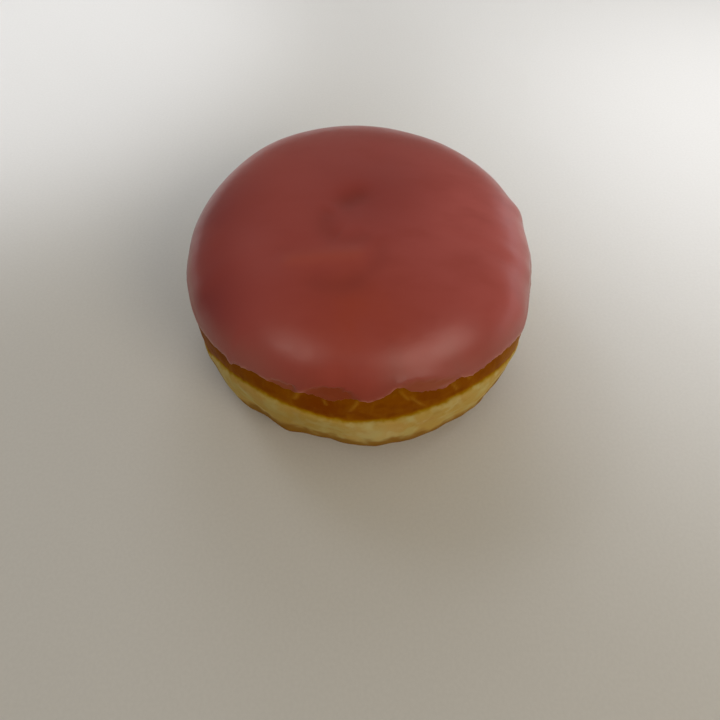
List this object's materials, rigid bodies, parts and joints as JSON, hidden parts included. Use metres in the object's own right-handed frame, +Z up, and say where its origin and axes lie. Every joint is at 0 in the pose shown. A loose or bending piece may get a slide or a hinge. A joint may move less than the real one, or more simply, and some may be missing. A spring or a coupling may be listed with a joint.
{
  "type": "berliner doughnut",
  "caption": "Round fried berliner doughnut without a hole, with a smooth cap of pink icing, a strip of brown crust below it and a pale collar round the side.",
  "frame": {"origin": "middle of the flat spot that the doughnut rests on", "axes": "+Z up through the middle of the top, -Y towards the front, where the icing's edge is nearest to the viewer, +X to the viewer's right"},
  "size_m": [0.0874, 0.0914, 0.0424],
  "materials": {
    "fried_dough": "golden brown fried crust with a soft gloss above and below, and a matte cream-yellow collar between",
    "pink_icing": "set fondant icing, smooth with a satin gloss, thin and brownish where it ends on the crust"
  },
  "bodies": {
    "root": {"dough": "fried_dough", "icing": "pink_icing"}
  },
  "joints": []
}
